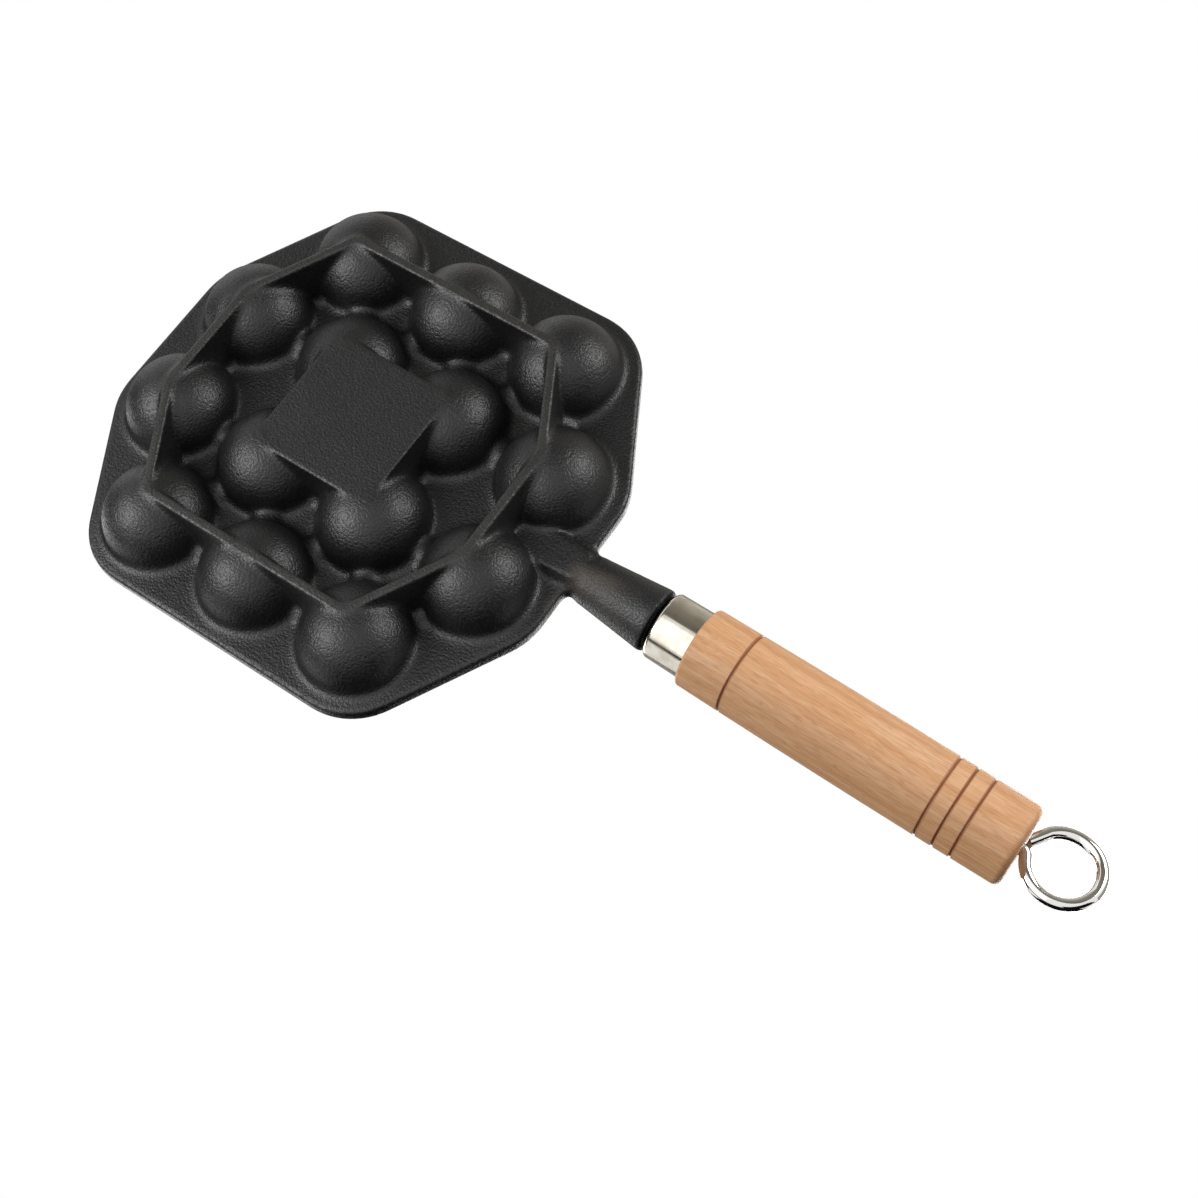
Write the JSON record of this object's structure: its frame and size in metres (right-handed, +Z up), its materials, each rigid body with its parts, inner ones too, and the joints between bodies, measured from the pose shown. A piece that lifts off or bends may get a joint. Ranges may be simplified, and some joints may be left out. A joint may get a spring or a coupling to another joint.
{
  "type": "escargot pan",
  "caption": "Cast-iron pan with half-ball cups, a foot ring and a rising wooden handle held by an eye rod that screws into the stem.",
  "frame": {"origin": "centre of the foot ring, on the surface that the pan stands on", "axes": "+X out along the handle, +Z up out of the cups, +Y completes the right-handed frame"},
  "size_m": [0.3612, 0.1648, 0.0529],
  "materials": {
    "black_cast_iron": "sand-cast, baked black, semi-matte",
    "nickel_plated_steel": "drawn and nickel plated, bright",
    "oiled_beech": "turned, sanded and clear lacquered",
    "chrome_plated_steel": "chrome plated, mirror bright"
  },
  "bodies": {
    "pan": {"pan_casting": "black_cast_iron"},
    "grip": {"ferrule": "nickel_plated_steel", "wooden_grip": "oiled_beech"},
    "rod": {"eye_rod": "chrome_plated_steel"}
  },
  "joints": [
    {"name": "grip_draw", "type": "slide", "parent": "pan", "child": "grip", "axis": [0.9945, 0, 0.1045], "range_m": [0, 0.007]},
    {"name": "rod_turn", "type": "hinge", "parent": "grip", "child": "rod", "pos_m": [0.088, 0, 0.0229], "axis": [0.9945, 0, 0.1045], "range_deg": [0, 3600]}
  ],
  "couplings": [
    {"joint": "rod_turn", "follows": "grip_draw", "rad_per_m": 8975.9}
  ]
}
